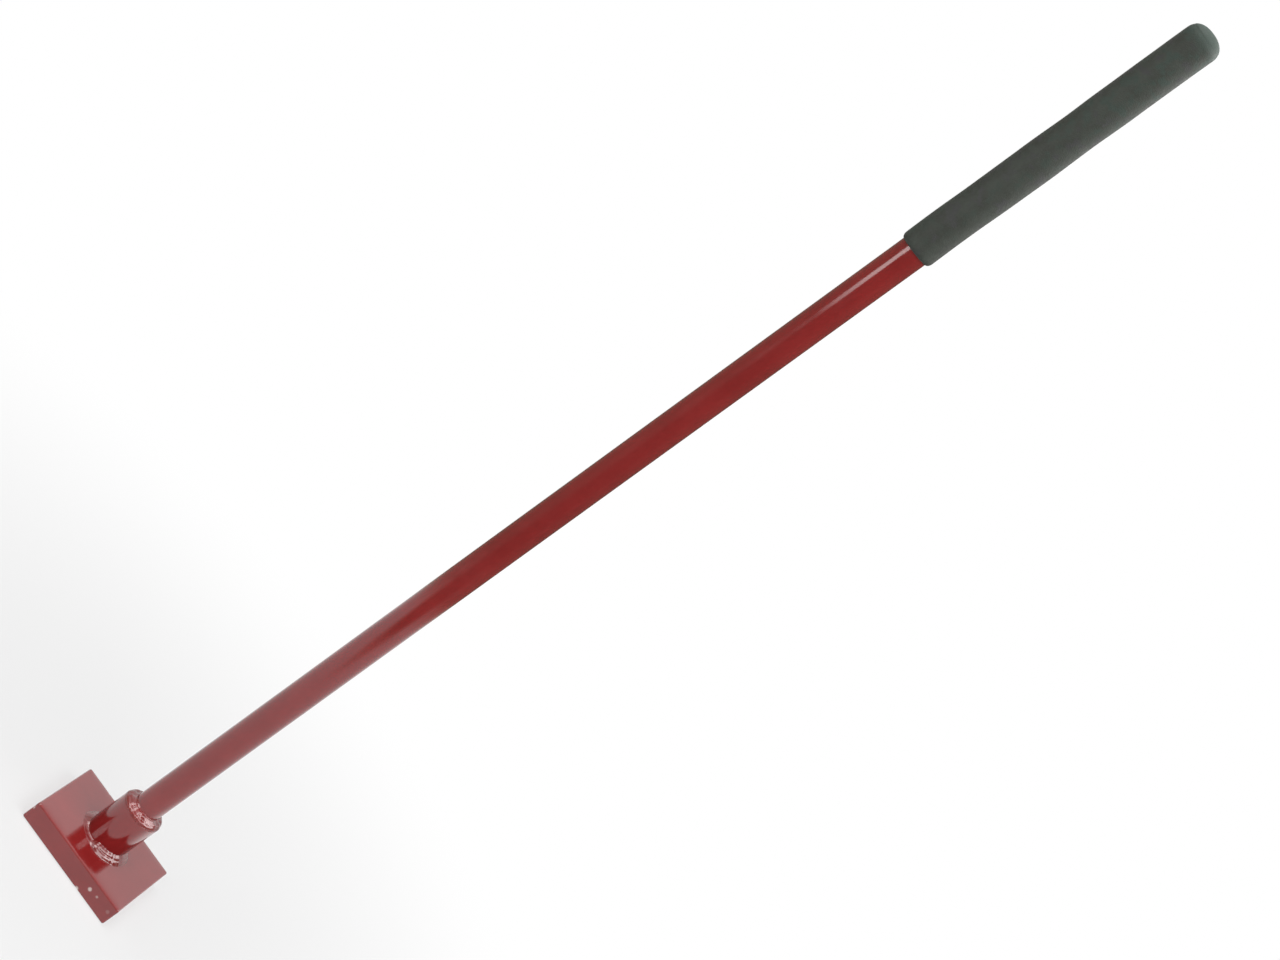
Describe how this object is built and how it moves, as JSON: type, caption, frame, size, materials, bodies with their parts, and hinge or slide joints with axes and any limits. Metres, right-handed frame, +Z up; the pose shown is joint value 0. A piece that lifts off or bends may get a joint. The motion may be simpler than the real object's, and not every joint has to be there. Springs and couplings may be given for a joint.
{
  "type": "hand tamper",
  "caption": "Hand tamper with a flat rectangular steel head welded to a tall straight tube shaft, ending in a rounded foam grip, for packing earth, gravel or asphalt.",
  "frame": {"origin": "middle of the head plate's underside, on the shaft's axis", "axes": "+Z up the shaft towards the grip, +X along the plate's longer side, +Y along its shorter side"},
  "size_m": [0.12, 0.11, 1.2156],
  "materials": {
    "red_enamel": "gloss red enamel over steel, with small chips",
    "dark_foam": "matt dark grey-green foam rubber",
    "black_plastic": "plain moulded black plastic"
  },
  "bodies": {
    "root": {"head_plate": "red_enamel", "socket": "red_enamel", "foot_weld": "red_enamel", "shaft": "red_enamel", "rim_weld": "red_enamel", "end_plug": "black_plastic", "grip": "dark_foam"}
  },
  "joints": []
}
